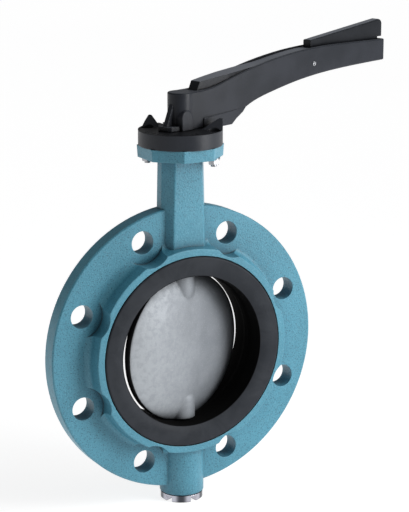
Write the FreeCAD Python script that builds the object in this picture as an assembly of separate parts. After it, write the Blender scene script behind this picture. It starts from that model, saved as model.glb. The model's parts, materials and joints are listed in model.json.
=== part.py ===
import FreeCAD, Part
import math
import os

# Centred butterfly valve, nominal bore 150 mm, full flange body, with a latching hand lever.
# Millimetres. Origin: centre of the bore, on the stem axis. +Z up the stem, +Y along the pipe,
# +X along the hand lever when the valve is shut. The disc and lever are modelled 18 degrees open.

V = FreeCAD.Vector
Y_DIR = V(0, 1, 0)
Z_DIR = V(0, 0, 1)
HERE = V(0, 0, 0)
PAST = 1.0                 # how far a cut runs on past the surface that it opens
NEAR_ZERO = 0.01

# ---- driving dimensions ----
OPEN_ANGLE = 18.0          # disc and lever angle from shut

# flange and ring
FLANGE_R = 142.5
FLANGE_HALF = 9.0
FLANGE_CHAMFER = 1.2
BOLT_CIRCLE_R = 120.0
BOLT_HOLE_R = 11.5
BOLT_COUNT = 8
RING_R = 103.0
RING_HALF = 27.0
RING_EDGE_R = 0.8
RING_FOOT_R = 6.5
RING_DRAFT = 1.0
SCALLOP_R = 21.5
LINER_SEAT_R = 84.0        # body bore that the rubber liner sits in
LIP_RECESS_R = 96.0
LIP_RECESS_HALF = 23.0

# neck and top flange
NECK_BOTTOM_Z = 87.0
NECK_TOP_Z = 191.5
NECK_FOOT = (24.6, 5.1, 17.4, 17.8)    # half side, side flat half, half front, half depth
NECK_HEAD = (22.6, 4.4, 14.4, 16.5)
NECK_EDGE_R = 2.0
TOP_FLANGE_Z = (190.0, 201.6)
TOP_FLANGE_FLAT_R = 39.0
TOP_FLANGE_DRAFT = 0.7
TOP_FLANGE_EDGE_R = 1.6
TOP_BOLT_R = 33.5          # top bolt circle radius
TOP_BOLT_HOLE_R = 3.3
TOP_BOLT_ANGLES = (135.0, -45.0)

# foot boss
FOOT_R = 22.0
FOOT_TOP_Z = -88.0
FOOT_BOTTOM_Z = -151.0
FOOT_CHAMFER = 1.5
PLUG_THREAD_R = 12.2
PLUG_SEAL_R = 14.0
PLUG_SEAL_THICK = 2.4
PLUG_TOP_Z = -133.8
PLUG_HEAD_R = 21.2
PLUG_HEAD_HEIGHT = 7.0
PLUG_HEAD_CHAMFER = 0.8
PLUG_SLOT_HALF = 3.4
PLUG_SLOT_DEPTH = 5.5
PLUG_SLOT_COUNT = 5
PLUG_SLOT_START_ANGLE = 61.6
PLUG_RECESS_R = 12.0

# shaft line
SHAFT_R = 10.0
SHAFT_LOW_R = 7.0
SQUARE = 14.0              # across flats, both drives
FIT = 0.05                 # radial running clearance
BUSH_R = 13.0
LOW_BUSH_R = 9.5
SEAL_R = 15.5
LOWER_BUSH_Z = (90.0, 120.0)
UPPER_BUSH_Z = (150.0, 192.0)
STUB_BUSH_Z = (-124.0, -90.0)
O_RING_Z = (180.0, 186.0)
O_RING_GROOVE_R = 12.0
O_RING_GROOVE_HALF = 1.0
DUST_SEAL_TOP_Z = 195.0
THRUST_WASHER_TOP_Z = 196.5
BORE_START_Z = 70.0        # inside the pipe bore, where the stem's bores begin
SHAFT_CORNER_R = 9.7       # the squares' corners are turned off to this radius
SHAFT_END_CHAMFER = 1.0
SHAFT_TOP_Z = 242.0
SHAFT_SQUARE_Z = 203.0
SHAFT_BOTTOM_Z = -130.0
DRIVE_TOP_Z = -26.0
DRIVE_BOTTOM_Z = -73.0
CIRCLIP_GROOVE_R = 9.0
CIRCLIP_Z = (196.8, 198.3)
CIRCLIP_R = 13.0
CIRCLIP_GAP_HALF = 3.0
THRUST_PAD_R = 9.1
THRUST_PAD_GAP = 0.3

# liner
LINER_BORE_R = 75.5
SEAT_CREST_R = 74.5
SEAT_CREST_HALF = 3.0
SEAT_RAMP = 8.0
LIP_R = 95.2
LIP_HALF = 28.0
LIP_BACK_HALF = 23.0
LIP_EDGE_R = 1.6
LIP_MOUTH_START_R = 86.5
LIP_MOUTH_HALF = 24.8      # half width at the sharp edge of the bore

# disc
DISC_R = 74.2
DISC_CROWN = [(0.0, 14.4), (30.0, 13.8), (52.0, 11.4), (65.0, 7.6), (73.6, 3.8)]   # radius, half thickness
DISC_CROWN_END = (0.86, -0.50)     # the crown's direction where it meets the rim
DISC_BOSS_R = 13.5
DISC_BOSS_Z = 55.5

# notch plate
PLATE_R = 40.8
PLATE_Z = (201.6, 216.3)
PLATE_BORE_R = 11.0
LUG_WALL = 13.0            # stop wall distance from the stem axis
LUG_HEIGHT = 11.0
LUG_TOP = 9.2
LUG_SUNK = 2.0
LUG_INNER_X = 16.0
LUG_TOE_ANGLE = 37.0
NOTCH_STEP = 9.0
NOTCH_COUNT = 11
NOTCH_WIDTH = 3.9
NOTCH_DEPTH = 5.5
NOTCH_INNER_R = 32.0
POCKET_R = 6.5
POCKET_Z = 207.8
TICK_R = (33.5, 38.0)
TICK_RISE = 0.4
TICK_SUNK = 0.5
TICK_HALF = 0.35
TICK_LONG_STEP = 5         # every fifth tick is longer
TICK_LONG_BY = 2.0

# plate fasteners
SCREW_R = 3.0
SCREW_HEAD_R = 5.0
SCREW_HEAD_HEIGHT = 6.0
SCREW_HEAD_CHAMFER = 0.5
SCREW_SOCKET_FLAT_R = 2.5
SCREW_SOCKET_DEPTH = 3.0
SCREW_END_Z = 181.6
WASHER_BORE_R = 3.2
WASHER_R = 6.0
WASHER_THICK = 1.4
NUT_FLAT_R = 5.0
NUT_HEIGHT = 5.0
NUT_CONE_R = (5.1, 10.1)   # chamfers the nut's lower corners

# hand lever, in its own frame: +X along the lever, +Y its far side
HUB_R = 12.4
HUB_Z = (216.8, 252.2)
ARM_HALF = 11.6
ARM_END_X = 299.0
# underside of the arm, from the foot to the end
LEVER_LOWER = [(66.8, 219.9), (83.6, 230.0), (116.0, 239.1), (170.0, 248.0), (222.5, 252.1),
               (ARM_END_X, 254.1)]
LEVER_RISE_X = 16.0        # where the arm's top starts to rise from the hub
LEVER_RISE = (112.0, 15.6)         # radius and end slope of the hollow behind the hub
LEVER_CREST = (595.0, -1.3)        # radius and end slope of the long crown after it
STOP_FOOT_X = (41.2, 42.0, 59.8)   # foot that hangs below the hub, beside the plate
STOP_FOOT_Z = 214.6
ARM_CORNER_R = 3.0
ARM_EDGE_R = 1.4
CHANNEL_HALF = 9.4
CHANNEL_X = (24.0, 295.0)
CHANNEL_FLOOR = 4.0
CHANNEL_OPEN_Z = 262.0      # above this the channel has no roof
NOSE_SLOT_X = 13.8
NOSE_SLOT_Z = 243.0
NOSE_SLOT_HALF = 6.3
NOSE_TAPER_END_X = 58.0    # where the latch and its slot reach full width
PANEL_HALF = 12.6
PANEL_X = (20.0, 44.0, 80.0)
PANEL_TOP = [(76.0, 225.0), (80.0, 229.0), (20.0, 225.4)]
PAD_X = -3.6
PAD_HALF_WIDTH = 7.6
PAD_TOP_Z = 235.8
PAD_OUT = (13.9, 13.2)     # pad face distance at its foot and top
PAD_EDGE_R = 1.2
SKIRT_X = -23.4
SKIRT_Z = (216.8, 221.0)
SKIRT_HALF = (6.4, 8.8, 12.6)
SKIRT_TIP = 2.4
RIB_HALF = 2.4
RIB_SIDE = [(0, 219), (-21.2, 219), (-21.2, 221.0), (-12.2, 241.7), (0, 241.7)]
SET_SCREW_R = 4.0
SET_SCREW_Z = 229.0
SET_SCREW_LENGTH = 5.2
SET_SCREW_SOCKET_R = 2.2
SET_SCREW_SOCKET_DEPTH = 2.6
TOOTH_SLOT_X = (30.2, 42.2)
TOOTH_SLOT_HALF = 5.0

# latch trigger
LATCH_HALF = 8.9
LATCH_NOSE_HALF = 5.6
LATCH_NOSE_X = 15.3
# top of the bar, from the nose to the grip's end
LATCH_RIDGE = [(21.1, 260.1), (48.1, 263.2), (72.3, 265.5), (89.9, 267.1), (110.3, 268.7), (140.5, 272.6),
               (176.9, 276.0), (214.9, 276.9), (292.1, 275.3)]
LATCH_NOSE_FOOT_Z = 249.3
LATCH_BELLY = (56.0, 253.2)        # underside, where the nose meets the bar
LATCH_END_Z = 266.0
GRIP_X = (185.3, 300.8)
GRIP_TOP_Z = (284.7, 296.4)
GRIP_FOOT_Z = 278.4
GRIP_ROOT_Z = 270.0        # the wedge's foot, inside the bar
GRIP_NOSE_R = 4.5          # rounding at the grip's far end
GRIP_OVERHANG = 6.6
LATCH_SKIN = 3.0
LATCH_UNDER_PIVOT = 2.0
LATCH_HOLLOW_TOP = [(60.0, 261.2), (90.0, 264.0), (110.0, 265.5), (140.0, 269.4), (169.8, 272.2)]
GRIP_HALF = 5.0
GRIP_EDGE_R = 1.6
PIVOT = (183.8, 261.3)
PIVOT_R = 2.5
PIVOT_BOSS_R = 7.0
PIN_PROUD = 0.5
PIN_CHAMFER = 0.4
TOOTH_X = (33.0, 39.6)
TOOTH_TIP_Z = 216.7
TOOTH_HALF = 1.7
BLADE_Z = (226.0, 256.0)
BLADE_HALF = 4.0
SPRING_X = 216.0
SPRING_Z = (256.3, 272.6)
SPRING_ROOF_GAP = 0.2
SPRING_ROOM_X = (195.8, 282.0, 288.5)
SPRING_R = 4.2
SPRING_WIRE_R = 0.6
SPRING_TURNS = 3


# ---- helpers ----
def cylinder(radius, z_low, z_high, x=0.0, y=0.0):
    return Part.makeCylinder(radius, z_high - z_low, V(x, y, z_low), Z_DIR)


def pipe_cylinder(radius, y_low, y_high, x=0.0, z=0.0):
    return Part.makeCylinder(radius, y_high - y_low, V(x, y_low, z), Y_DIR)


def tube(r_in, r_out, z_low, z_high, x=0.0, y=0.0):
    return cylinder(r_out, z_low, z_high, x, y).cut(cylinder(r_in, z_low - PAST, z_high + PAST, x, y))


def box(x_low, x_high, y_low, y_high, z_low, z_high):
    return Part.makeBox(x_high - x_low, y_high - y_low, z_high - z_low, V(x_low, y_low, z_low))


def polygon_wire(points):
    return Part.makePolygon(list(points) + [points[0]])


def prism_z(outline, z_low, z_high):
    face = Part.Face(polygon_wire([V(x, y, z_low) for x, y in outline]))
    return face.extrude(V(0, 0, z_high - z_low))


def prism_y(outline, half):
    face = Part.Face(polygon_wire([V(x, -half, z) for x, z in outline]))
    return face.extrude(V(0, 2 * half, 0))


def hexagon(flat_radius, z_low, z_high, x=0.0, y=0.0):
    reach = flat_radius / math.cos(math.radians(30))
    corners = [polar(reach, 60 * i) for i in range(6)]
    return prism_z([(x + cx, y + cy) for cx, cy in corners], z_low, z_high)


def polar(radius, degrees):
    angle = math.radians(degrees)
    return radius * math.cos(angle), radius * math.sin(angle)


def spline(points):
    curve = Part.BSplineCurve()
    curve.interpolate([V(*p) for p in points])
    return curve.toShape()


def turning_arc(start, radius, from_slope, to_slope):
    """An arc in the XZ plane that turns from one slope to another, in degrees. Returns it and its end."""
    turn = 1 if to_slope > from_slope else -1

    def at(slope):
        a, b = math.radians(from_slope), math.radians(slope)
        return (start[0] + turn * radius * (math.sin(b) - math.sin(a)), 0,
                start[2] + turn * radius * (math.cos(a) - math.cos(b)))

    end = at(to_slope)
    return arc(start, at((from_slope + to_slope) / 2), end), end


def segment(a, b):
    return Part.LineSegment(V(*a), V(*b)).toShape()


def arc(a, mid, b):
    return Part.Arc(V(*a), V(*mid), V(*b)).toShape()


def turned(shape, degrees):
    copy = shape.copy()
    copy.rotate(HERE, Z_DIR, degrees)
    return copy


def fuse_all(shapes):
    return shapes[0].multiFuse(shapes[1:]).removeSplitter()


def chamfer_where(shape, size, wanted):
    return shape.makeChamfer(size, [e for e in shape.Edges if wanted(e)])


def revolve_about_pipe(edges):
    face = Part.Face(Part.Wire(edges))
    return face.revolve(HERE, Y_DIR, 360)


def bolt_angles():
    return [360.0 / BOLT_COUNT * (i + 0.5) for i in range(BOLT_COUNT)]


def write(name, shape):
    shape = shape.removeSplitter() if shape.ShapeType != "Compound" else shape
    if not shape.isValid():
        print("INVALID", name)
    print(name, len(shape.Solids), "solids, volume", round(shape.Volume / 1000, 2), "cm3")
    solids = shape.Solids
    whole = solids[0] if len(solids) == 1 else Part.makeCompound(solids)
    whole.exportStep("parts/%s.step" % name)


# ---- body ----
def ring_and_flange():
    """The flange disc with a raised ring on each side, turned about the pipe axis."""
    foot_x = RING_R + RING_DRAFT
    foot_y = FLANGE_HALF + RING_FOOT_R
    bend = RING_FOOT_R * (1 - math.sqrt(0.5))
    edge = RING_EDGE_R * (1 - math.sqrt(0.5))

    def half(sign):
        def at(x, y):
            return (x, sign * y, 0)
        return [
            segment(at(LINER_SEAT_R, 0), at(LINER_SEAT_R, LIP_RECESS_HALF)),
            segment(at(LINER_SEAT_R, LIP_RECESS_HALF), at(LIP_RECESS_R, LIP_RECESS_HALF)),
            segment(at(LIP_RECESS_R, LIP_RECESS_HALF), at(LIP_RECESS_R, RING_HALF)),
            segment(at(LIP_RECESS_R, RING_HALF), at(RING_R - RING_EDGE_R, RING_HALF)),
            arc(at(RING_R - RING_EDGE_R, RING_HALF), at(RING_R - edge, RING_HALF - edge),
                at(RING_R, RING_HALF - RING_EDGE_R)),
            segment(at(RING_R, RING_HALF - RING_EDGE_R), at(foot_x, foot_y)),
            arc(at(foot_x, foot_y), at(foot_x + bend, FLANGE_HALF + bend),
                at(foot_x + RING_FOOT_R, FLANGE_HALF)),
            segment(at(foot_x + RING_FOOT_R, FLANGE_HALF), at(FLANGE_R - FLANGE_CHAMFER, FLANGE_HALF)),
            segment(at(FLANGE_R - FLANGE_CHAMFER, FLANGE_HALF), at(FLANGE_R, FLANGE_HALF - FLANGE_CHAMFER)),
        ]

    rim = segment((FLANGE_R, FLANGE_HALF - FLANGE_CHAMFER, 0), (FLANGE_R, FLANGE_CHAMFER - FLANGE_HALF, 0))
    return revolve_about_pipe(half(1) + [rim] + list(reversed(half(-1))))


def neck_section(size, z):
    side, side_flat, front, depth = size
    corners = [(side, -side_flat), (side, side_flat), (front, depth), (-front, depth),
               (-side, side_flat), (-side, -side_flat), (-front, -depth), (front, -depth)]
    return polygon_wire([V(x, y, z) for x, y in corners])


def octagon_wire(flat_radius, z):
    reach = flat_radius / math.cos(math.radians(22.5))
    corners = [polar(reach, 22.5 + 45 * i) for i in range(8)]
    return polygon_wire([V(x, y, z) for x, y in corners])


def make_valve_body():
    body = ring_and_flange()
    cuts = []
    for angle in bolt_angles():
        x, z = polar(BOLT_CIRCLE_R, angle)
        cuts.append(pipe_cylinder(BOLT_HOLE_R, -2 * RING_HALF, 2 * RING_HALF, x, z))
        cuts.append(pipe_cylinder(SCALLOP_R, FLANGE_HALF, 2 * RING_HALF, x, z))
        cuts.append(pipe_cylinder(SCALLOP_R, -2 * RING_HALF, -FLANGE_HALF, x, z))
    body = body.cut(Part.makeCompound(cuts))

    neck = Part.makeLoft([neck_section(NECK_FOOT, NECK_BOTTOM_Z), neck_section(NECK_HEAD, NECK_TOP_Z)],
                         True, True)
    neck = neck.makeFillet(NECK_EDGE_R, [e for e in neck.Edges if e.BoundBox.ZLength > NEAR_ZERO])
    low, high = TOP_FLANGE_Z
    top_flange = Part.makeLoft([octagon_wire(TOP_FLANGE_FLAT_R - TOP_FLANGE_DRAFT, low),
                                octagon_wire(TOP_FLANGE_FLAT_R, high)], True, True)
    upright = [e for e in top_flange.Edges if e.BoundBox.ZLength > NEAR_ZERO]
    top_flange = top_flange.makeFillet(TOP_FLANGE_EDGE_R, upright)
    foot = cylinder(FOOT_R, FOOT_BOTTOM_Z, FOOT_TOP_Z)
    foot = chamfer_where(foot, FOOT_CHAMFER, lambda e: e.BoundBox.ZMax < FOOT_BOTTOM_Z + NEAR_ZERO)
    body = fuse_all([body, neck, top_flange, foot])

    bores = [
        cylinder(BUSH_R, BORE_START_Z, UPPER_BUSH_Z[1] + PAST),
        cylinder(SEAL_R, UPPER_BUSH_Z[1], high + PAST),
        cylinder(LOW_BUSH_R, PLUG_TOP_Z - PAST, -BORE_START_Z),
        cylinder(PLUG_THREAD_R, FOOT_BOTTOM_Z - PAST, PLUG_TOP_Z),
        cylinder(PLUG_SEAL_R, FOOT_BOTTOM_Z - PAST, FOOT_BOTTOM_Z + PLUG_SEAL_THICK),
    ]
    for i in range(4):
        x, y = polar(TOP_BOLT_R, 45 + 90 * i)
        bores.append(cylinder(TOP_BOLT_HOLE_R, low - PAST, high + PAST, x, y))
    return body.cut(Part.makeCompound(bores))


# ---- liner ----
def make_seat_liner():
    """Rubber sleeve with a lip folded over each side of the body and a raised sealing seat."""
    run = LIP_MOUTH_START_R - LINER_BORE_R
    drop = LIP_HALF - LIP_MOUTH_HALF
    mouth_r = (run ** 2 + drop ** 2) / (2 * drop)
    mid_y = LIP_HALF - mouth_r + math.sqrt(mouth_r ** 2 - run ** 2 / 4)
    edge = LIP_EDGE_R * (1 - math.sqrt(0.5))

    def half(sign):
        def at(x, y):
            return (x, sign * y, 0)
        return [
            segment(at(SEAT_CREST_R, 0), at(SEAT_CREST_R, SEAT_CREST_HALF)),
            segment(at(SEAT_CREST_R, SEAT_CREST_HALF), at(LINER_BORE_R, SEAT_RAMP)),
            segment(at(LINER_BORE_R, SEAT_RAMP), at(LINER_BORE_R, LIP_MOUTH_HALF)),
            arc(at(LINER_BORE_R, LIP_MOUTH_HALF), at(LINER_BORE_R + run / 2, mid_y),
                at(LIP_MOUTH_START_R, LIP_HALF)),
            segment(at(LIP_MOUTH_START_R, LIP_HALF), at(LIP_R - LIP_EDGE_R, LIP_HALF)),
            arc(at(LIP_R - LIP_EDGE_R, LIP_HALF), at(LIP_R - edge, LIP_HALF - edge),
                at(LIP_R, LIP_HALF - LIP_EDGE_R)),
            segment(at(LIP_R, LIP_HALF - LIP_EDGE_R), at(LIP_R, LIP_BACK_HALF)),
            segment(at(LIP_R, LIP_BACK_HALF), at(LINER_SEAT_R, LIP_BACK_HALF)),
            segment(at(LINER_SEAT_R, LIP_BACK_HALF), at(LINER_SEAT_R, 0)),
        ]

    liner = revolve_about_pipe(half(1) + list(reversed(half(-1))))
    liner = liner.cut(cylinder(SHAFT_R + 2 * FIT, BORE_START_Z, LIP_R))
    return liner.cut(cylinder(SHAFT_LOW_R + 2 * FIT, -LIP_R, -BORE_START_Z))


# ---- disc ----
def make_disc():
    """Crowned disc with a hub boss at each pole, all inside one sphere so that it turns freely."""
    rim_x, rim_half = DISC_CROWN[-1]
    middle_half = DISC_CROWN[0][1]
    end_x, end_y = DISC_CROWN_END

    def face_curve(sign):
        curve = Part.BSplineCurve()
        points = [V(x, sign * y, 0) for x, y in DISC_CROWN]
        curve.interpolate(Points=points, InitialTangent=V(1, 0, 0), FinalTangent=V(end_x, end_y * sign, 0))
        return curve.toShape()

    rim = arc((rim_x, rim_half, 0), (DISC_R, 0, 0), (rim_x, -rim_half, 0))
    axis = segment((0, -middle_half, 0), (0, middle_half, 0))
    lens = Part.Face(Part.Wire([face_curve(1), rim, face_curve(-1), axis])).revolve(HERE, Y_DIR, 360)

    bosses = []
    for sign in (1, -1):
        low, high = sorted((sign * DISC_BOSS_Z, sign * DISC_R))
        bosses.append(cylinder(DISC_BOSS_R, low, high))
        bosses.append(Part.makeSphere(DISC_BOSS_R, V(0, 0, sign * DISC_BOSS_Z)))
    disc = fuse_all([lens] + bosses)
    disc = disc.common(Part.makeSphere(DISC_R))
    disc = disc.cut(cylinder(SHAFT_R, DRIVE_TOP_Z, DISC_R + PAST))
    half = SQUARE / 2
    disc = disc.cut(box(-half, half, -half, half, -DISC_R - PAST, DRIVE_TOP_Z))
    return turned(disc, OPEN_ANGLE)


# ---- shaft line ----
def make_shaft():
    """Round stem with a square through the lower half of the disc and another for the lever."""
    half = SQUARE / 2
    top = box(-half, half, -half, half, SHAFT_SQUARE_Z, SHAFT_TOP_Z)
    top = top.common(cylinder(SHAFT_CORNER_R, SHAFT_SQUARE_Z, SHAFT_TOP_Z))
    low = box(-half, half, -half, half, DRIVE_BOTTOM_Z, DRIVE_TOP_Z)
    low = low.common(cylinder(SHAFT_CORNER_R, DRIVE_BOTTOM_Z, DRIVE_TOP_Z))
    shaft = fuse_all([cylinder(SHAFT_LOW_R, SHAFT_BOTTOM_Z, DRIVE_TOP_Z), low,
                      cylinder(SHAFT_R, DRIVE_TOP_Z, SHAFT_SQUARE_Z), top])
    shaft = shaft.cut(tube(CIRCLIP_GROOVE_R, SHAFT_R + PAST, CIRCLIP_Z[0], CIRCLIP_Z[1]))
    shaft = chamfer_where(shaft, SHAFT_END_CHAMFER, lambda e: e.BoundBox.ZMax < SHAFT_BOTTOM_Z + NEAR_ZERO)
    return turned(shaft, OPEN_ANGLE)


def make_upper_neck_bush():
    bush = tube(SHAFT_R + FIT, BUSH_R, UPPER_BUSH_Z[0], UPPER_BUSH_Z[1])
    for z in O_RING_Z:
        bush = bush.cut(tube(SHAFT_R, O_RING_GROOVE_R, z - O_RING_GROOVE_HALF, z + O_RING_GROOVE_HALF))
    return bush


def make_shaft_o_rings():
    middle = (O_RING_GROOVE_R + SHAFT_R + FIT) / 2
    section = (O_RING_GROOVE_R - SHAFT_R - FIT) / 2
    return Part.makeCompound([Part.makeTorus(middle, section, V(0, 0, z), Z_DIR) for z in O_RING_Z])


def make_retaining_ring():
    """Ring in the stem's groove, open on one side so that it can be sprung on."""
    low, high = CIRCLIP_Z
    ring = tube(CIRCLIP_GROOVE_R, CIRCLIP_R, low, high)
    gap = box(0, CIRCLIP_R + PAST, -CIRCLIP_GAP_HALF, CIRCLIP_GAP_HALF, low - PAST, high + PAST)
    return turned(ring.cut(gap), OPEN_ANGLE)


def make_bottom_plug():
    """Threaded plug with a castellated head: blocks left by cuts that run outward from its recess."""
    high = FOOT_BOTTOM_Z
    low = high - PLUG_HEAD_HEIGHT
    slot_top = low + PLUG_SLOT_DEPTH
    reach = PLUG_HEAD_R + PAST
    head = cylinder(PLUG_HEAD_R, low, high)
    head = chamfer_where(head, PLUG_HEAD_CHAMFER, lambda e: e.BoundBox.ZMax < low + NEAR_ZERO)
    slot = box(0, reach, -PLUG_SLOT_HALF, PLUG_SLOT_HALF, low - PAST, slot_top)
    cuts = [turned(slot, PLUG_SLOT_START_ANGLE + 360 * i / PLUG_SLOT_COUNT) for i in range(PLUG_SLOT_COUNT)]
    cuts.append(cylinder(PLUG_RECESS_R, low - PAST, slot_top))
    head = head.cut(Part.makeCompound(cuts))
    return head.fuse(cylinder(PLUG_THREAD_R, high, PLUG_TOP_Z)).removeSplitter()


def make_bottom_plug_seal():
    return tube(PLUG_THREAD_R, PLUG_SEAL_R, FOOT_BOTTOM_Z, FOOT_BOTTOM_Z + PLUG_SEAL_THICK)


# ---- notch plate and its fasteners ----
def stop_lug():
    """Ramped stop beside the shut position: a flat-topped wall that falls inward and to a toe."""
    toe_x, toe_y = polar(PLATE_R, -LUG_TOE_ANGLE)
    rim_x = math.sqrt(PLATE_R ** 2 - LUG_WALL ** 2)
    fall_x = LUG_HEIGHT / (rim_x - LUG_INNER_X)
    fall_y = fall_x * (toe_x - LUG_INNER_X) / (-LUG_WALL - toe_y)

    def on_slope(x, y):
        return V(x, y, PLATE_Z[1] + fall_x * (x - LUG_INNER_X) + fall_y * (y + LUG_WALL))

    reach = 2 * PLATE_R
    base = PLATE_Z[1] - LUG_SUNK
    ceiling = PLATE_Z[1] + LUG_TOP
    corners = [(LUG_INNER_X, -LUG_WALL), (reach, -LUG_WALL), (reach, -reach), (LUG_INNER_X, -reach)]
    block = prism_z(corners, base, ceiling)
    slope = [on_slope(x, y) for x, y in ((-reach, reach), (reach, reach), (reach, -reach), (-reach, -reach))]
    above = Part.Face(polygon_wire(slope)).extrude(V(0, 0, 4 * reach))
    return block.cut(above).common(cylinder(PLATE_R, base, ceiling))


def make_notch_plate():
    low, high = PLATE_Z
    lug = stop_lug()
    mirror_normal = V(1, -1, 0).normalize()
    plate = fuse_all([cylinder(PLATE_R, low, high), lug, lug.mirror(HERE, mirror_normal)])

    cuts = [cylinder(PLATE_BORE_R, low - PAST, high + PAST)]
    for angle in TOP_BOLT_ANGLES:
        x, y = polar(TOP_BOLT_R, angle)
        cuts.append(cylinder(TOP_BOLT_HOLE_R, low - PAST, high + PAST, x, y))
        cuts.append(cylinder(POCKET_R, POCKET_Z, high + LUG_HEIGHT + PAST, x, y))
    half = NOTCH_WIDTH / 2
    slot = box(NOTCH_INNER_R, PLATE_R + PAST, -half, half, high - NOTCH_DEPTH, high + PAST)
    cuts += [turned(slot, NOTCH_STEP * i) for i in range(NOTCH_COUNT)]
    plate = plate.cut(Part.makeCompound(cuts))

    ticks = []
    for i in range(NOTCH_COUNT):
        inner = TICK_R[0] - (TICK_LONG_BY if i % TICK_LONG_STEP == 0 else 0.0)
        tick = box(inner, TICK_R[1], -TICK_HALF, TICK_HALF, high - TICK_SUNK, high + TICK_RISE)
        ticks.append(turned(tick, 180 + NOTCH_STEP * i))
    return fuse_all([plate] + ticks)


def make_plate_screws():
    """Two socket head screws, heads sunk in the plate's pockets, shanks down through both flanges."""
    top = POCKET_Z + SCREW_HEAD_HEIGHT
    screws = []
    for angle in TOP_BOLT_ANGLES:
        x, y = polar(TOP_BOLT_R, angle)
        head = cylinder(SCREW_HEAD_R, POCKET_Z, top, x, y)
        head = chamfer_where(head, SCREW_HEAD_CHAMFER, lambda e: e.BoundBox.ZMin > top - NEAR_ZERO)
        head = head.cut(hexagon(SCREW_SOCKET_FLAT_R, top - SCREW_SOCKET_DEPTH, top + PAST, x, y))
        screws.append(head.fuse(cylinder(SCREW_R, SCREW_END_Z, POCKET_Z, x, y)).removeSplitter())
    return Part.makeCompound(screws)


def make_plate_washers():
    high = TOP_FLANGE_Z[0]
    low = high - WASHER_THICK
    return Part.makeCompound([tube(WASHER_BORE_R, WASHER_R, low, high, *polar(TOP_BOLT_R, angle))
                              for angle in TOP_BOLT_ANGLES])


def make_plate_nuts():
    high = TOP_FLANGE_Z[0] - WASHER_THICK
    low = high - NUT_HEIGHT
    nuts = []
    for angle in TOP_BOLT_ANGLES:
        x, y = polar(TOP_BOLT_R, angle)
        nut = hexagon(NUT_FLAT_R, low, high, x, y)
        nut = nut.common(Part.makeCone(NUT_CONE_R[0], NUT_CONE_R[1], NUT_HEIGHT, V(x, y, low)))
        nuts.append(nut.cut(cylinder(SCREW_R, low - PAST, high + PAST, x, y)))
    return Part.makeCompound(nuts)


# ---- hand lever ----
def lever_profile(lift=0.0):
    """Side outline of the arm from the hub's axis. A lift raises its underside, for the channel's floor."""
    low, high = HUB_Z
    foot_start, foot_wall, foot_end = STOP_FOOT_X
    foot = STOP_FOOT_Z + lift
    lower = [(x, 0, z + lift) for x, z in LEVER_LOWER]
    rise, rise_end = turning_arc((LEVER_RISE_X, 0, high), LEVER_RISE[0], 0.0, LEVER_RISE[1])
    crest, crest_end = turning_arc(rise_end, LEVER_CREST[0], LEVER_RISE[1], LEVER_CREST[1])
    tip_z = crest_end[2] + math.tan(math.radians(LEVER_CREST[1])) * (ARM_END_X - crest_end[0])
    edges = [
        segment((0, 0, low + lift), (foot_start, 0, low + lift)),
        segment((foot_start, 0, low + lift), (foot_wall, 0, foot)),
        segment((foot_wall, 0, foot), (foot_end, 0, foot)),
        segment((foot_end, 0, foot), lower[0]),
        spline(lower),
        segment(lower[-1], (ARM_END_X, 0, tip_z)),
        segment((ARM_END_X, 0, tip_z), crest_end),
        crest,
        rise,
        segment((LEVER_RISE_X, 0, high), (0, 0, high)),
        segment((0, 0, high), (0, 0, low + lift)),
    ]
    return Part.Face(Part.Wire(edges))


def extrude_y(face, half):
    copy = face.copy()
    copy.translate(V(0, -half, 0))
    return copy.extrude(V(0, 2 * half, 0))


def lever_solid():
    """The round hub and the arm before hollowing, with outer edges rounded as a casting's are."""
    arm = extrude_y(lever_profile(), ARM_HALF)

    def end_corner(edge):
        return edge.BoundBox.XMin > ARM_END_X - NEAR_ZERO and edge.BoundBox.YLength < NEAR_ZERO

    arm = arm.makeFillet(ARM_CORNER_R, [e for e in arm.Edges if end_corner(e)])

    def top_rim(edge):
        rim = edge.BoundBox
        along = rim.YLength < NEAR_ZERO and rim.XLength > ARM_EDGE_R / 2
        across_end = rim.XMin > ARM_END_X - ARM_CORNER_R - NEAR_ZERO and rim.ZLength < ARM_EDGE_R / 2
        return rim.ZMin > HUB_Z[1] - NEAR_ZERO and (along or across_end)

    arm = arm.makeFillet(ARM_EDGE_R, [e for e in arm.Edges if top_rim(e)])
    hub = cylinder(HUB_R, HUB_Z[0], HUB_Z[1])
    hub = hub.makeFillet(ARM_EDGE_R, [e for e in hub.Edges if e.BoundBox.ZMin > HUB_Z[1] - NEAR_ZERO])
    return arm.fuse(hub)


def lever_panel():
    """Thicker foot panels on the arm's sides, which meet the plate's stops."""
    start, straight, end = PANEL_X
    plan = prism_z([(start, -PANEL_HALF), (straight, -PANEL_HALF), (end, -ARM_HALF), (end, ARM_HALF),
                    (straight, PANEL_HALF), (start, PANEL_HALF)], STOP_FOOT_Z - PAST, HUB_Z[1])
    foot_start, foot_wall, foot_end = STOP_FOOT_X
    bottom = [(start, HUB_Z[0]), (foot_start, HUB_Z[0]), (foot_wall, STOP_FOOT_Z), (foot_end, STOP_FOOT_Z)]
    side = prism_y(bottom + [LEVER_LOWER[0]] + PANEL_TOP, 2 * PANEL_HALF)
    return plan.common(side)


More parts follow.
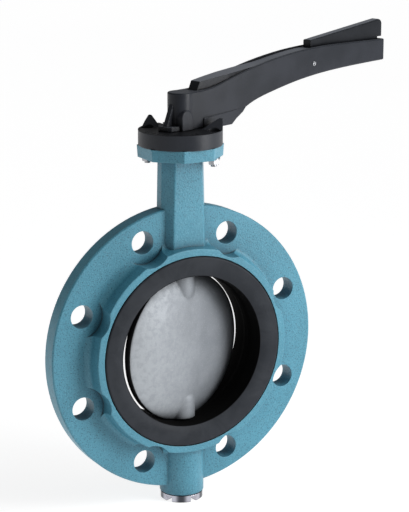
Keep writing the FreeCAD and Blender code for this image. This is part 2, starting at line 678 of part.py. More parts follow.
def lever_pad():
    """Round-topped pad on the hub's near side, leaning slightly outward at its foot."""
    foot_y, top_y = PAD_OUT
    shoulder = PAD_TOP_Z - PAD_HALF_WIDTH
    low = HUB_Z[0]
    left = PAD_X - PAD_HALF_WIDTH
    right = PAD_X + PAD_HALF_WIDTH
    edges = [
        segment((left, 0, low), (right, 0, low)),
        segment((right, 0, low), (right, 0, shoulder)),
        arc((right, 0, shoulder), (PAD_X, 0, PAD_TOP_Z), (left, 0, shoulder)),
        segment((left, 0, shoulder), (left, 0, low)),
    ]
    tombstone = Part.Face(Part.Wire(edges)).extrude(V(0, -foot_y - PAST, 0))
    lean = [V(left, 0, low), V(left, -foot_y, low), V(left, -top_y, PAD_TOP_Z), V(left, 0, PAD_TOP_Z)]
    pad = tombstone.common(Part.Face(polygon_wire(lean)).extrude(V(2 * PAD_HALF_WIDTH, 0, 0)))

    def outline(edge):
        rim = edge.BoundBox
        return rim.YMax < NEAR_ZERO - top_y and rim.ZMax > low + NEAR_ZERO

    return pad.makeFillet(PAD_EDGE_R, [e for e in pad.Edges if outline(e)])


def lever_skirt():
    """Flat pointer behind the hub that reads the scale, with a rib up the hub's back."""
    low, high = SKIRT_Z
    tip, shoulder, root = SKIRT_HALF
    shoulder_x = SKIRT_X + SKIRT_TIP
    plate = prism_z([(SKIRT_X, -tip), (shoulder_x, -shoulder), (0, -root), (0, root), (shoulder_x, shoulder),
                     (SKIRT_X, tip)], low, high)
    return plate.fuse(prism_y(RIB_SIDE, RIB_HALF))


def nose_outline(start, tip_half, end, full_half):
    """Plan of the latch, or of its slot: widening from the nose until it has its full width."""
    return [(start, -tip_half), (NOSE_TAPER_END_X, -full_half), (end, -full_half), (end, full_half),
            (NOSE_TAPER_END_X, full_half), (start, tip_half)]


def make_lever_arm():
    arm = fuse_all([lever_solid(), lever_panel(), lever_pad(), lever_skirt()])

    start, end = CHANNEL_X
    low, high = STOP_FOOT_Z - PAST, GRIP_TOP_Z[1]
    channel = extrude_y(lever_profile(CHANNEL_FLOOR), CHANNEL_HALF)
    channel = channel.fuse(box(start, end, -CHANNEL_HALF, CHANNEL_HALF, CHANNEL_OPEN_Z, high))
    channel = channel.common(box(start, end, -CHANNEL_HALF, CHANNEL_HALF, low, high))
    channel = channel.fuse(box(NOSE_SLOT_X, NOSE_TAPER_END_X, -CHANNEL_HALF, CHANNEL_HALF, NOSE_SLOT_Z, high))
    channel = channel.common(prism_z(nose_outline(NOSE_SLOT_X, NOSE_SLOT_HALF, end, CHANNEL_HALF), low, high))
    half = SQUARE / 2
    slot_start, slot_end = TOOTH_SLOT_X
    reach = ARM_HALF + HUB_R
    cuts = [
        channel,
        box(slot_start, slot_end, -TOOTH_SLOT_HALF, TOOTH_SLOT_HALF, low, HUB_Z[0] + 2 * CHANNEL_FLOOR),
        box(-half, half, -half, half, low, SHAFT_TOP_Z + PAST),
        Part.makeCylinder(PIVOT_R, 2 * reach, V(PIVOT[0], -reach, PIVOT[1]), Y_DIR),
        Part.makeCylinder(SET_SCREW_R, reach, V(0, 0, SET_SCREW_Z), Y_DIR),
    ]
    return turned(arm.cut(Part.makeCompound(cuts)), OPEN_ANGLE)


def make_lever_set_screw():
    """Screw in the hub's far side that clamps the lever on the stem's square."""
    outer = SQUARE / 2 + SET_SCREW_LENGTH
    screw = Part.makeCylinder(SET_SCREW_R, SET_SCREW_LENGTH, V(0, SQUARE / 2, SET_SCREW_Z), Y_DIR)
    start = V(0, outer - SET_SCREW_SOCKET_DEPTH, SET_SCREW_Z)
    socket = Part.makeCylinder(SET_SCREW_SOCKET_R, SET_SCREW_SOCKET_DEPTH + PAST, start, Y_DIR)
    return turned(screw.cut(socket), OPEN_ANGLE)


# ---- latch trigger ----
def latch_bar():
    """The bar that lies in the lever's channel, from the nose over the pivot to the grip's end."""
    px, pz = PIVOT
    ridge = [(x, 0, z) for x, z in LATCH_RIDGE]
    belly = (LATCH_BELLY[0], 0, LATCH_BELLY[1])
    nose = (LATCH_NOSE_X, 0, LATCH_NOSE_FOOT_Z)
    before = (px - 2 * PIVOT_BOSS_R, 0, pz - LATCH_UNDER_PIVOT)
    behind = (px + 2 * PIVOT_BOSS_R, 0, pz - LATCH_UNDER_PIVOT)
    end = (ridge[-1][0], 0, LATCH_END_Z)
    edges = [
        segment(nose, ridge[0]),
        spline(ridge),
        segment(ridge[-1], end),
        segment(end, behind),
        segment(behind, before),
        segment(before, belly),
        segment(belly, nose),
    ]
    bar = extrude_y(Part.Face(Part.Wire(edges)), LATCH_HALF)
    plan = nose_outline(LATCH_NOSE_X, LATCH_NOSE_HALF, ARM_END_X, LATCH_HALF)
    return bar.common(prism_z(plan, HUB_Z[0], GRIP_TOP_Z[1]))


def latch_grip():
    """The narrow wedge on top of the bar that the hand squeezes, with rounded edges."""
    start, end = GRIP_X
    low, high = GRIP_TOP_Z
    brow = end - 2 * GRIP_NOSE_R
    step = end - GRIP_OVERHANG
    edges = [
        segment((start, 0, GRIP_ROOT_Z), (start, 0, low)),
        segment((start, 0, low), (brow, 0, high)),
        arc((brow, 0, high), (end - 0.4 * GRIP_NOSE_R, 0, high - 0.3 * GRIP_NOSE_R),
            (end, 0, high - GRIP_NOSE_R)),
        segment((end, 0, high - GRIP_NOSE_R), (end, 0, GRIP_FOOT_Z)),
        segment((end, 0, GRIP_FOOT_Z), (step, 0, GRIP_FOOT_Z)),
        segment((step, 0, GRIP_FOOT_Z), (step, 0, GRIP_ROOT_Z)),
        segment((step, 0, GRIP_ROOT_Z), (start, 0, GRIP_ROOT_Z)),
    ]
    side_view = extrude_y(Part.Face(Part.Wire(edges)), 2 * GRIP_HALF)
    r = GRIP_EDGE_R
    bend = r * (1 - math.sqrt(0.5))
    w = GRIP_HALF
    section = [
        segment((start, -w, GRIP_ROOT_Z), (start, -w, low - r)),
        arc((start, -w, low - r), (start, -w + bend, low - bend), (start, -w + r, low)),
        segment((start, -w + r, low), (start, w - r, low)),
        arc((start, w - r, low), (start, w - bend, low - bend), (start, w, low - r)),
        segment((start, w, low - r), (start, w, GRIP_ROOT_Z)),
        segment((start, w, GRIP_ROOT_Z), (start, -w, GRIP_ROOT_Z)),
    ]
    rise = (high - low) / (brow - start)
    reach = end + PAST - start
    bar = Part.Face(Part.Wire(section)).extrude(V(reach, 0, rise * reach))
    bar = bar.fuse(box(start, start + reach, -w, w, GRIP_ROOT_Z, low - r))
    return bar.common(side_view)


def make_latch_trigger():
    """One casting: grip wedge behind the pivot, bar in front of it, and a tooth reaching the plate."""
    px, pz = PIVOT
    boss = Part.makeCylinder(PIVOT_BOSS_R, 2 * LATCH_HALF, V(px, -LATCH_HALF, pz), Y_DIR)
    inner = LATCH_HALF - LATCH_SKIN
    under = HUB_Z[0]
    roof = SPRING_Z[1] + SPRING_ROOF_GAP
    spring_room = prism_y([(SPRING_ROOM_X[0], under), (SPRING_ROOM_X[0], roof), (SPRING_ROOM_X[1], roof),
                           (SPRING_ROOM_X[2], LATCH_END_Z + LATCH_SKIN), (SPRING_ROOM_X[2], under)], inner)
    hollow_start, hollow_end = LATCH_HOLLOW_TOP[0][0], LATCH_HOLLOW_TOP[-1][0]
    front_hollow = prism_y(LATCH_HOLLOW_TOP + [(hollow_end, under), (hollow_start, under)], inner)
    tooth_low, tooth_high = TOOTH_X
    blade_low, blade_high = BLADE_Z
    blade = box(tooth_low - PAST, tooth_high, -BLADE_HALF, BLADE_HALF, blade_low, blade_high)
    tip = box(tooth_low, tooth_high, -TOOTH_HALF, TOOTH_HALF, TOOTH_TIP_Z, blade_low + PAST)
    latch = fuse_all([latch_bar(), latch_grip(), boss]).cut(spring_room).cut(front_hollow)
    latch = fuse_all([latch, blade, tip])
    latch = latch.cut(Part.makeCylinder(PIVOT_R + FIT, 2 * LATCH_HALF + 2 * PAST,
                                        V(px, -LATCH_HALF - PAST, pz), Y_DIR))
    return turned(latch, OPEN_ANGLE)


def make_trigger_pivot_pin():
    reach = ARM_HALF + PIN_PROUD
    pin = Part.makeCylinder(PIVOT_R, 2 * reach, V(PIVOT[0], -reach, PIVOT[1]), Y_DIR)
    pin = chamfer_where(pin, PIN_CHAMFER, lambda e: e.BoundBox.YLength < NEAR_ZERO)
    return turned(pin, OPEN_ANGLE)


def make_trigger_spring():
    low, high = SPRING_Z
    rise = high - low - 2 * SPRING_WIRE_R
    helix = Part.makeHelix(rise / SPRING_TURNS, rise, SPRING_R)
    helix.translate(V(SPRING_X, 0, low + SPRING_WIRE_R))
    start = V(SPRING_X + SPRING_R, 0, low + SPRING_WIRE_R)
    section = Part.Wire(Part.makeCircle(SPRING_WIRE_R, start, Y_DIR))
    coil = Part.Wire(helix).makePipeShell([section], True, True)
    return turned(coil, OPEN_ANGLE)


def main():
    os.makedirs("parts", exist_ok=True)
    write("valve_body", make_valve_body())
    write("seat_liner", make_seat_liner())
    write("disc", make_disc())
    write("shaft", make_shaft())
    write("upper_neck_bush", make_upper_neck_bush())
    write("lower_neck_bush", tube(SHAFT_R + FIT, BUSH_R, LOWER_BUSH_Z[0], LOWER_BUSH_Z[1]))
    write("stub_bush", tube(SHAFT_LOW_R + FIT, LOW_BUSH_R, STUB_BUSH_Z[0], STUB_BUSH_Z[1]))
    write("shaft_o_rings", make_shaft_o_rings())
    write("dust_seal", tube(SHAFT_R + FIT, SEAL_R, UPPER_BUSH_Z[1], DUST_SEAL_TOP_Z))
    write("thrust_washer", tube(SHAFT_R + 2 * FIT, SEAL_R, DUST_SEAL_TOP_Z, THRUST_WASHER_TOP_Z))
    write("retaining_ring", make_retaining_ring())
    write("thrust_pad", cylinder(THRUST_PAD_R, PLUG_TOP_Z, SHAFT_BOTTOM_Z - THRUST_PAD_GAP))
    write("bottom_plug", make_bottom_plug())
    write("bottom_plug_seal", make_bottom_plug_seal())
    write("notch_plate", make_notch_plate())
    write("plate_screws", make_plate_screws())
    write("plate_washers", make_plate_washers())
    write("plate_nuts", make_plate_nuts())
    write("lever_arm", make_lever_arm())
    write("lever_set_screw", make_lever_set_screw())
    write("latch_trigger", make_latch_trigger())
    write("trigger_pivot_pin", make_trigger_pivot_pin())
    write("trigger_spring", make_trigger_spring())


main()
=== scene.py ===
import json
import math

import bpy
from mathutils import Matrix, Vector


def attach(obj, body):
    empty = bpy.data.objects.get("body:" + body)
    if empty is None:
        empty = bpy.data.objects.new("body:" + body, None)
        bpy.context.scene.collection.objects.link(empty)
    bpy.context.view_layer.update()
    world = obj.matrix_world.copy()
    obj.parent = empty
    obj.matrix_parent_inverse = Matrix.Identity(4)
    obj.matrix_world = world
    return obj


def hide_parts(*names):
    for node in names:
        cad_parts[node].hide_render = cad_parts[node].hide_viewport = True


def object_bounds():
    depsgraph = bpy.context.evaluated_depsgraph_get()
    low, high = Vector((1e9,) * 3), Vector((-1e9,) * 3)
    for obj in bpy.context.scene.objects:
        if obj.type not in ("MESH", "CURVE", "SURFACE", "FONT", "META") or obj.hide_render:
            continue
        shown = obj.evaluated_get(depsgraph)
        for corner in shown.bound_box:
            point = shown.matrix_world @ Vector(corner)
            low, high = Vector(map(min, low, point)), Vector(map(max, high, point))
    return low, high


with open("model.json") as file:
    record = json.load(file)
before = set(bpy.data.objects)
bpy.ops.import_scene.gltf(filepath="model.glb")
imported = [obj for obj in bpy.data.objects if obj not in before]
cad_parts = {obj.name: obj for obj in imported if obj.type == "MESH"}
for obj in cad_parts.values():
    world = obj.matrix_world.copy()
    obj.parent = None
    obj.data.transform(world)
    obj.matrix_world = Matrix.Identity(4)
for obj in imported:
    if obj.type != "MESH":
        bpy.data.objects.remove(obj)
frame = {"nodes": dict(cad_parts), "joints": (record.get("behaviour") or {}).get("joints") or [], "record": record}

NODES = frame["nodes"]
CAD_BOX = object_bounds()
SCENE = bpy.context.scene
MM = 0.001
STEM_BODY = "stem"
SQUEEZE_JOINT = next(joint for joint in frame["joints"] if joint["name"] == "trigger_squeeze")

LINER_BORE_R = 76.0 * MM        # inside this the lining is painted near-black as the bore's shade, outside it is the satin lip
LINER_BORE_FADE = 0.4 * MM
DISC_SHADED_EDGE_R = 73.77 * MM        # outside this the disc's edge is painted dark as shade
DISC_SHADED_EDGE_FADE = 0.05 * MM
DISC_PAINTED_LIGHT_X = (20.0 * MM, -70.0 * MM)      # painted light: the disc gets paler from the first to the second
PLUG_BLOCKS = 5
PLUG_BLOCK_ANGLE = -118.4       # degrees round the stem, middle of one of the plug's blocks and of its dark painted reflection


# ---------------------------------------------------------------- colour
def linear(r, g, b):
    """8-bit display colour to a linear RGBA tuple."""
    out = []
    for c in (r, g, b):
        c /= 255.0
        out.append(c / 12.92 if c <= 0.04045 else ((c + 0.055) / 1.055) ** 2.4)
    return (*out, 1.0)


class Surface:
    """A principled material with short helpers for its node tree. Textures follow the object's own space."""

    def __init__(self, name):
        self.mat = bpy.data.materials.new(name)
        self.mat.use_nodes = True
        self.tree = self.mat.node_tree
        self.shader = self.tree.nodes["Principled BSDF"]
        self.coord = self.tree.nodes.new("ShaderNodeTexCoord").outputs["Object"]

    def add(self, kind, inputs=None, **props):
        node = self.tree.nodes.new(kind)
        for key, value in props.items():
            setattr(node, key, value)
        for key, value in (inputs or {}).items():
            self.feed(node.inputs[key], value)
        return node

    def feed(self, socket, value):
        if isinstance(value, bpy.types.NodeSocket):
            self.tree.links.new(value, socket)
        else:
            socket.default_value = value

    def stretched(self, sx, sy, sz):
        node = self.add("ShaderNodeMapping", {"Vector": self.coord, "Scale": (sx, sy, sz)})
        return node.outputs["Vector"]

    def noise(self, size, detail=2.0, rough=0.5, warp=0.0, coord=None):
        """Noise whose features are about size metres across."""
        node = self.add("ShaderNodeTexNoise", {"Vector": coord or self.coord, "Scale": 1.0 / size,
                                               "Detail": detail, "Roughness": rough, "Distortion": warp})
        return node.outputs["Fac"]

    def dots(self, size, radius, share):
        """1 in small round spots, one in each of the given share of cells."""
        node = self.add("ShaderNodeTexVoronoi", {"Vector": self.coord, "Scale": 1.0 / size}, feature="F1")
        near = self.remap(node.outputs["Distance"], radius, radius * 0.6)
        kept = self.remap(self.luma(node.outputs["Color"]), share, share - 0.02)
        return self.math("MULTIPLY", near, kept)

    def luma(self, color):
        return self.add("ShaderNodeRGBToBW", {"Color": color}).outputs["Val"]

    def pipe_radius(self):
        """Distance from the pipe's axis, which runs along Y."""
        flat = self.add("ShaderNodeVectorMath", {0: self.coord, 1: (1.0, 0.0, 1.0)}, operation="MULTIPLY")
        length = self.add("ShaderNodeVectorMath", {0: flat.outputs["Vector"]}, operation="LENGTH")
        return length.outputs["Value"]

    def around_stem(self, count, first_angle):
        """1 at first_angle degrees and at count places evenly round the stem's axis, 0 between them."""
        xyz = self.add("ShaderNodeSeparateXYZ", {"Vector": self.coord}).outputs
        angle = self.math("ARCTAN2", xyz["Y"], xyz["X"])
        turned = self.math("SUBTRACT", angle, math.radians(first_angle))
        return self.remap(self.math("COSINE", self.math("MULTIPLY", turned, float(count))), -0.1, 1.0)

    def facing_up(self, low, high):
        """0 on walls, 1 on faces that look up."""
        normal = self.add("ShaderNodeNewGeometry").outputs["Normal"]
        z = self.add("ShaderNodeSeparateXYZ", {"Vector": normal}).outputs["Z"]
        return self.remap(z, low, high)

    def remap(self, value, low, high, to_low=0.0, to_high=1.0, smooth=True):
        node = self.add("ShaderNodeMapRange", {"Value": value, "From Min": low, "From Max": high,
                                               "To Min": to_low, "To Max": to_high})
        node.interpolation_type = "SMOOTHSTEP" if smooth else "LINEAR"
        return node.outputs["Result"]

    def math(self, op, a, b=0.0):
        node = self.add("ShaderNodeMath", operation=op)
        self.feed(node.inputs[0], a)
        self.feed(node.inputs[1], b)
        return node.outputs["Value"]

    def blend(self, factor, a, b, mode="MIX"):
        node = self.add("ShaderNodeMix", data_type="RGBA", blend_type=mode)
        self.feed(node.inputs["Factor"], factor)
        self.feed(node.inputs["A"], a)
        self.feed(node.inputs["B"], b)
        return node.outputs["Result"]

    def blend_value(self, factor, a, b):
        node = self.add("ShaderNodeMix", data_type="FLOAT")
        self.feed(node.inputs["Factor"], factor)
        self.feed(node.inputs["A"], a)
        self.feed(node.inputs["B"], b)
        return node.outputs["Result"]

    def soft_edge(self, radius):
        return self.add("ShaderNodeBevel", {"Radius": radius}, samples=6).outputs["Normal"]

    def edge_highlight_mask(self, soft, sharp=0.985, full=0.86):
        """1 on the outer and inner corners that soft_edge rounds, 0 on open faces: where edges get a painted
        highlight.
        """
        true = self.add("ShaderNodeNewGeometry").outputs["Normal"]
        dot = self.add("ShaderNodeVectorMath", operation="DOT_PRODUCT")
        self.feed(dot.inputs[0], soft)
        self.feed(dot.inputs[1], true)
        return self.remap(dot.outputs["Value"], sharp, full)

    def crevice(self, reach):
        """1 in the open, falling to 0 deep in corners and gaps."""
        return self.add("ShaderNodeAmbientOcclusion", {"Distance": reach}, samples=6).outputs["AO"]

    def with_hollow_shade(self, color, reach, shade_tint, low=0.15, high=0.95):
        """The colour, multiplied by the shade tint as painted shade where it lies deep in a hollow of about reach
        metres.
        """
        shaded = self.blend(1.0, color, shade_tint, "MULTIPLY")
        return self.blend(self.remap(self.crevice(reach), low, high), shaded, color)

    def seam(self, color, reach, dark=(0.004, 0.005, 0.006, 1.0)):
        """The colour with a dark line of painted shade where two surfaces meet."""
        return self.blend(self.remap(self.crevice(reach), 0.28, 0.85), dark, color)

    def bump(self, height, depth, normal=None, strength=1.0):
        inputs = {"Height": height, "Distance": depth, "Strength": strength}
        if normal is not None:
            inputs["Normal"] = normal
        return self.add("ShaderNodeBump", inputs).outputs["Normal"]

    def finish(self, color, rough, normal=None, metallic=0.0, **fixed):
        self.feed(self.shader.inputs["Base Color"], color)
        self.feed(self.shader.inputs["Roughness"], rough)
        self.shader.inputs["Metallic"].default_value = metallic
        if normal is not None:
            self.feed(self.shader.inputs["Normal"], normal)
        for key, value in fixed.items():
            self.shader.inputs[key.replace("_", " ")].default_value = value
        return self.mat


# ---------------------------------------------------------------- materials
def body_paint():
    """Blue-green enamel over sand-cast iron: orange peel, casting grain, dark specks, painted highlights on edges,
    painted shade in corners and creases.
    """
    s = Surface("body_paint")
    soft = s.soft_edge(1.0 * MM)
    edge = s.edge_highlight_mask(soft)
    clouds = s.noise(60 * MM, 3.0, 0.5)
    grain = s.noise(1.3 * MM, 2.0, 0.6)
    color = s.blend(s.remap(clouds, 0.3, 0.7), linear(74, 137, 158), linear(80, 146, 168))
    color = s.blend(s.remap(grain, 0.50, 0.72, 0.0, 0.45), color, linear(108, 170, 190))
    color = s.blend(s.remap(grain, 0.48, 0.30, 0.0, 0.35), color, linear(56, 108, 128))
    color = s.blend(s.math("MULTIPLY", s.dots(1.9 * MM, 0.34, 0.54), 0.7), color, linear(44, 84, 100))
    # painted highlight on the rounded edges
    color = s.blend(s.math("MULTIPLY", edge, 0.5), color, linear(122, 182, 202))
    # painted shade deep in hollows
    color = s.with_hollow_shade(color, 22 * MM, linear(112, 124, 134))
    # painted shade as a dark line where surfaces meet
    color = s.seam(color, 2.6 * MM)
    rough = s.remap(grain, 0.3, 0.7, 0.36, 0.5)
    peel = s.math("ADD", s.noise(1.5 * MM, 2.0, 0.6), s.math("MULTIPLY", s.noise(9 * MM, 2.0, 0.5), 0.8))
    normal = s.bump(peel, 0.42 * MM, soft, 1.0)
    return s.finish(color, rough, normal, Specular_IOR_Level=0.4, Coat_Weight=0.1, Coat_Roughness=0.3)


def liner_rubber():
    """Moulded black rubber: satin lips with faint mould flow and grey bloom, painted highlights on edges, painted
    shade near-black inside the bore and dark in creases.
    """
    s = Surface("liner_rubber")
    soft = s.soft_edge(0.8 * MM)
    edge = s.edge_highlight_mask(soft)
    flow = s.noise(26 * MM, 4.0, 0.6, 0.6)
    grain = s.noise(0.8 * MM, 2.0, 0.6)
    color = s.blend(s.remap(flow, 0.35, 0.65), linear(44, 47, 52), linear(52, 55, 60))
    color = s.blend(s.remap(grain, 0.5, 0.8, 0.0, 0.2), color, linear(64, 67, 72))
    # painted highlight on the rounded edges
    color = s.blend(s.math("MULTIPLY", edge, 0.3), color, linear(78, 81, 87))
    # painted shade: near-black inside the bore radius, then a dark line in creases
    lip = s.remap(s.pipe_radius(), LINER_BORE_R - LINER_BORE_FADE, LINER_BORE_R + LINER_BORE_FADE)
    color = s.seam(s.blend(lip, linear(1, 1, 1), color), 3.0 * MM)
    rough = s.blend_value(lip, 0.95, s.remap(flow, 0.3, 0.7, 0.42, 0.54))
    normal = s.bump(s.math("ADD", grain, s.noise(6 * MM, 2.0, 0.5)), 0.08 * MM, soft, 0.5)
    return s.finish(color, rough, normal, Specular_IOR_Level=0.1)


def disc_stainless():
    """Blasted cast stainless steel: matte light grey with a faint mottle and fine pits; painted light makes it
    paler to one side, with painted highlights on edges and painted shade in hollows and on its edge face.
    """
    s = Surface("disc_stainless")
    soft = s.soft_edge(3.0 * MM)
    edge = s.edge_highlight_mask(soft)
    clouds = s.noise(38 * MM, 3.0, 0.5, 0.4)
    mottle = s.noise(5 * MM, 3.0, 0.6)
    grain = s.noise(1.1 * MM, 2.0, 0.65)
    color = s.blend(s.remap(clouds, 0.32, 0.66), linear(124, 129, 135), linear(138, 143, 149))
    # painted light: paler towards -X
    across = s.add("ShaderNodeSeparateXYZ", {"Vector": s.coord}).outputs["X"]
    color = s.blend(s.remap(across, *DISC_PAINTED_LIGHT_X, 0.0, 0.85, smooth=False), color, linear(178, 183, 188))
    color = s.blend(s.remap(mottle, 0.42, 0.68, 0.0, 0.28), color, linear(132, 137, 144))
    color = s.blend(s.remap(grain, 0.54, 0.76, 0.0, 0.3), color, linear(186, 190, 195))
    # painted highlight on the rounded edges
    color = s.blend(s.math("MULTIPLY", edge, 0.3), color, linear(196, 199, 203))
    # painted shade deep in hollows
    color = s.with_hollow_shade(color, 16 * MM, linear(105, 106, 108), high=0.9)
    # painted shade: the disc's edge face is dark
    from_centre = s.add("ShaderNodeVectorMath", {0: s.coord}, operation="LENGTH").outputs["Value"]
    shaded_edge_band = s.remap(from_centre, DISC_SHADED_EDGE_R - DISC_SHADED_EDGE_FADE, DISC_SHADED_EDGE_R + DISC_SHADED_EDGE_FADE)
    color = s.blend(shaded_edge_band, color, linear(22, 22, 24))
    rough = s.remap(mottle, 0.3, 0.7, 0.5, 0.62)
    height = s.math("ADD", s.math("MULTIPLY", grain, 0.6), s.noise(3.0 * MM, 2.0, 0.5))
    normal = s.bump(height, 0.16 * MM, soft, 0.7)
    return s.finish(color, rough, normal, metallic=0.35, Specular_IOR_Level=0.5)


def lever_paint(name, dark, light, painted_top_tone, crease_shade_reach=1.2 * MM):
    """Satin dark powder coat on a fine casting, with a painted tone on the faces that look up for how light falls
    on them, painted highlights on edges and painted shade in hollows and creases.
    """
    s = Surface(name)
    soft = s.soft_edge(1.1 * MM)
    edge = s.edge_highlight_mask(soft)
    clouds = s.noise(40 * MM, 3.0, 0.5)
    grain = s.noise(0.8 * MM, 2.0, 0.6)
    color = s.blend(s.remap(clouds, 0.35, 0.65), linear(*dark), linear(*light))
    color = s.blend(s.remap(grain, 0.56, 0.8, 0.0, 0.3), color, linear(66, 69, 76))
    # painted highlight on the rounded edges
    color = s.blend(s.math("MULTIPLY", edge, 0.3), color, linear(88, 91, 98))
    # faces that look up take the top tone as painted light, painted darker on the plate
    color = s.blend(s.math("MULTIPLY", s.facing_up(0.86, 0.96), 0.8), color, linear(*painted_top_tone))
    # painted shade deep in hollows
    color = s.with_hollow_shade(color, 14 * MM, linear(92, 92, 96), low=0.2)
    # painted shade as a dark line in creases
    color = s.seam(color, crease_shade_reach)
    rough = s.remap(clouds, 0.3, 0.7, 0.36, 0.46)
    height = s.math("ADD", grain, s.noise(2.6 * MM, 2.0, 0.55))
    normal = s.bump(height, 0.08 * MM, soft, 0.6)
    return s.finish(color, rough, normal, Specular_IOR_Level=0.24)


def bright_steel(name, base, rough_range, streaks, stain=1.0, painted_reflection=None):
    """Machined or plated metal: marks along the given stretch, a share of stains, painted highlights on edges,
    dark painted reflections round it, painted shade in creases.
    """
    s = Surface(name)
    soft = s.soft_edge(0.4 * MM)
    edge = s.edge_highlight_mask(soft)
    marks = s.noise(1.0 * MM, 3.0, 0.6, coord=s.stretched(*streaks))
    haze = s.noise(5 * MM, 3.0, 0.6)
    r, g, b = base
    stained = linear(r * 0.84, g * 0.84, b * 0.85)
    color = s.blend(s.remap(haze, 0.35, 0.68, 0.0, stain), linear(r, g, b), stained)
    color = s.blend(s.remap(marks, 0.5, 0.75, 0.0, 0.35 * stain), color, linear(r * 0.7, g * 0.7, b * 0.71))
    # painted highlight on the rounded edges
    color = s.blend(s.math("MULTIPLY", edge, 0.35), color, linear(235, 236, 238))
    # painted reflection: dark bands round the stem's axis
    if painted_reflection:
        color = s.blend(s.math("MULTIPLY", s.around_stem(*painted_reflection), 0.96), color, linear(54, 56, 62))
    # painted shade as a dark line in creases
    color = s.seam(color, 1.6 * MM, (0.02, 0.02, 0.022, 1.0))
    rough = s.remap(haze, 0.3, 0.7, *rough_range)
    normal = s.bump(marks, 0.015 * MM, soft, 0.6)
    return s.finish(color, rough, normal, metallic=1.0)


def bush_polymer():
    """Off-white bearing polymer, matte, with faint tool marks."""
    s = Surface("bush_polymer")
    soft = s.soft_edge(0.5 * MM)
    haze = s.noise(4 * MM, 3.0, 0.6)
    marks = s.noise(0.7 * MM, 2.0, 0.5, coord=s.stretched(1.0, 1.0, 6.0))
    color = s.blend(s.remap(haze, 0.35, 0.65), linear(222, 218, 205), linear(208, 203, 188))
    color = s.blend(s.remap(marks, 0.55, 0.75, 0.0, 0.3), color, linear(188, 184, 170))
    rough = s.remap(marks, 0.3, 0.7, 0.45, 0.6)
    return s.finish(color, rough, s.bump(marks, 0.03 * MM, soft, 0.8), Specular_IOR_Level=0.45)


MATERIALS = {
    "body_paint": body_paint(),
    "liner_rubber": liner_rubber(),
    "disc_stainless": disc_stainless(),
    "shaft_stainless": bright_steel("shaft_stainless", (198, 198, 200), (0.22, 0.34), (0.2, 0.2, 7.0)),
    "bush_polymer": bush_polymer(),
    "bush_bronze": bright_steel("bush_bronze", (201, 160, 92), (0.28, 0.42), (0.3, 0.3, 5.0)),
    "seal_rubber": lever_paint("seal_rubber", (17, 17, 18), (26, 26, 27), (34, 34, 35)),
    "spring_steel": bright_steel("spring_steel", (132, 132, 134), (0.30, 0.42), (1.0, 1.0, 1.0)),
    "plug_steel": bright_steel("plug_steel", (184, 183, 192), (0.1, 0.18), (0.2, 0.2, 5.0), 0.25,
                               painted_reflection=(PLUG_BLOCKS, PLUG_BLOCK_ANGLE)),
    # its faces that look up are painted darker for how light falls on them
    "plate_paint": lever_paint("plate_paint", (42, 45, 51), (49, 52, 58), (22, 23, 26)),
    "zinc_steel": bright_steel("zinc_steel", (176, 178, 182), (0.22, 0.34), (1.0, 1.0, 1.0), 0.5),
    # its faces that look up are painted lighter as painted light
    "lever_paint": lever_paint("lever_paint", (38, 41, 47), (44, 47, 54), (92, 96, 104)),
}
# a darker copy of the lever paint as painted shade, with a light painted top tone as painted light
SHADED_LATCH_PAINT = lever_paint("shaded_latch_paint", (27, 30, 35), (34, 37, 43), (150, 155, 165), 2.6 * MM)

for part in frame["record"]["subparts"]:
    node = NODES[part["node"]]
    node.data.materials.clear()
    node.data.materials.append(MATERIALS[part["material_slot"]])
NODES["latch_trigger"].data.materials[0] = SHADED_LATCH_PAINT


# ---------------------------------------------------------------- pivot pin
PIN_HALF = 12.1
PIN_STEPS = 40
# radius and depth below the end, from the dish in the middle out to the shank
PIN_RIM = [(0.7, 1.3), (1.25, 1.1), (1.35, 0.15), (1.6, 0.0), (2.1, 0.0), (2.38, 0.15), (2.5, 0.5)]


def make_pin():
    """The latch's pivot pin with its ends dished and rolled over, as a riveted pin's are."""
    near = [(radius * MM, (depth - PIN_HALF) * MM) for radius, depth in PIN_RIM]
    profile = near + [(radius, -along) for radius, along in reversed(near)]
    verts, faces = [], []
    for radius, along in profile:
        for i in range(PIN_STEPS):
            turn = 2.0 * math.pi * i / PIN_STEPS
            verts.append((radius * math.cos(turn), along, radius * math.sin(turn)))
    for ring in range(len(profile) - 1):
        for i in range(PIN_STEPS):
            a, b = ring * PIN_STEPS + i, ring * PIN_STEPS + (i + 1) % PIN_STEPS
            faces.append((a, a + PIN_STEPS, b + PIN_STEPS, b))
    faces.append(list(range(PIN_STEPS)))
    faces.append([len(verts) - 1 - i for i in range(PIN_STEPS)])
    mesh = bpy.data.meshes.new("pivot_pin")
    mesh.from_pydata(verts, [], faces)
    turn = Vector((0.0, 1.0, 0.0)).rotation_difference(Vector(SQUEEZE_JOINT["axis"]))
    mesh.transform(Matrix.Translation(SQUEEZE_JOINT["pos_m"]) @ turn.to_matrix().to_4x4())
    mesh.materials.append(MATERIALS["zinc_steel"])
    for polygon in mesh.polygons:
        polygon.use_smooth = len(polygon.vertices) == 4
    pin = bpy.data.objects.new("pivot_pin", mesh)
    SCENE.collection.objects.link(pin)
    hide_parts("trigger_pivot_pin")
    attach(pin, STEM_BODY)


make_pin()


# ---------------------------------------------------------------- floor
FLOOR_HALF = 30.0
FLOOR_RISE_Y = (-1.3, -0.3)     # the floor glows faintly up to the first and fully from the second
FLOOR_GLOW = (0.08, 0.84)


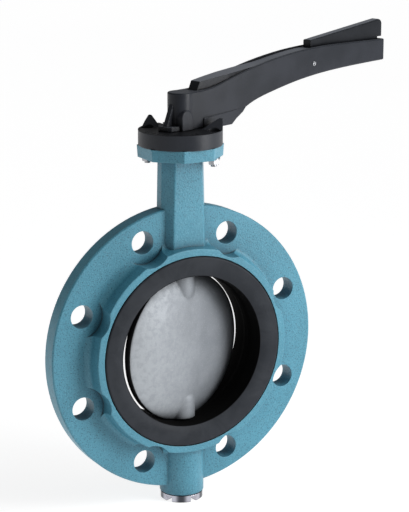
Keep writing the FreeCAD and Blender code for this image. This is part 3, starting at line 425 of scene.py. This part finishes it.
def make_floor():
    """A pale studio floor under the part, brighter behind it than in front; its glow is painted light that also
    lights the part.
    """
    s = Surface("studio_floor")
    tone = s.noise(1.9, 2.0, 0.5)
    color = s.blend(s.remap(tone, 0.3, 0.7), linear(166, 166, 167), linear(170, 170, 170))
    s.finish(color, 0.9, Specular_IOR_Level=0.1, Emission_Color=(1.0, 1.0, 1.0, 1.0))
    along = s.add("ShaderNodeSeparateXYZ", {"Vector": s.coord}).outputs["Y"]
    s.feed(s.shader.inputs["Emission Strength"], s.remap(along, *FLOOR_RISE_Y, *FLOOR_GLOW))
    mesh = bpy.data.meshes.new("floor")
    z = CAD_BOX[0].z
    corners = [(x * FLOOR_HALF, y * FLOOR_HALF, z) for x, y in ((-1, -1), (1, -1), (1, 1), (-1, 1))]
    mesh.from_pydata(corners, [], [(0, 1, 2, 3)])
    floor = bpy.data.objects.new("floor", mesh)
    SCENE.collection.objects.link(floor)
    mesh.materials.append(s.mat)


make_floor()

# ---------------------------------------------------------------- light
WORLD_STRENGTH = 0.16
SKY_KEY_FROM = (1.0, -0.9, 1.5)
SKY_KEY_STRENGTH = 0.95
SKY_KEY_ANGLE = 40.0            # degrees, broad enough for soft shadows
RIGHT_BOX_PLACE = (0.5, -0.55, 0.24)
RIGHT_BOX_TARGET = (0.03, 0.0, 0.03)
RIGHT_BOX_SIZE = (0.35, 0.5)
RIGHT_BOX_POWER = 4.3

SCENE.view_settings.view_transform = "Standard"
SCENE.view_settings.look = "None"


def aim(obj, target):
    direction = Vector(target) - obj.location
    obj.rotation_euler = direction.to_track_quat("-Z", "Y").to_euler()


def soft_light(name, place, target, size, power):
    lamp = bpy.data.lights.new(name, "AREA")
    lamp.shape = "RECTANGLE"
    lamp.size, lamp.size_y = size
    lamp.energy = power
    obj = bpy.data.objects.new(name, lamp)
    SCENE.collection.objects.link(obj)
    obj.location = place
    aim(obj, target)


def broad_sun(name, place, strength, angle):
    lamp = bpy.data.lights.new(name, "SUN")
    lamp.energy = strength
    lamp.angle = math.radians(angle)
    obj = bpy.data.objects.new(name, lamp)
    SCENE.collection.objects.link(obj)
    obj.location = place
    aim(obj, (0, 0, 0))


world = bpy.data.worlds.new("studio")
world.use_nodes = True
background = world.node_tree.nodes["Background"]
background.inputs["Color"].default_value = (1.0, 1.0, 1.0, 1.0)
background.inputs["Strength"].default_value = WORLD_STRENGTH
SCENE.world = world

broad_sun("sky_key", SKY_KEY_FROM, SKY_KEY_STRENGTH, SKY_KEY_ANGLE)
soft_light("right_box", RIGHT_BOX_PLACE, RIGHT_BOX_TARGET, RIGHT_BOX_SIZE, RIGHT_BOX_POWER)

# ---------------------------------------------------------------- camera
AZIMUTH = math.radians(28.4)
ELEVATION = math.radians(14.072)
DISTANCE = 1.8
AIM = Vector((0.02629, 0.0, 0.08743))
LENS = 128.83
camera_data = bpy.data.cameras.new("camera")
camera_data.lens = LENS
camera_data.sensor_width = 36.0
camera_data.clip_end = 100.0
camera = bpy.data.objects.new("camera", camera_data)
SCENE.collection.objects.link(camera)
forward = Vector((math.sin(AZIMUTH) * math.cos(ELEVATION), math.cos(AZIMUTH) * math.cos(ELEVATION),
                  -math.sin(ELEVATION)))
camera.location = AIM - forward * DISTANCE
aim(camera, AIM)
SCENE.camera = camera
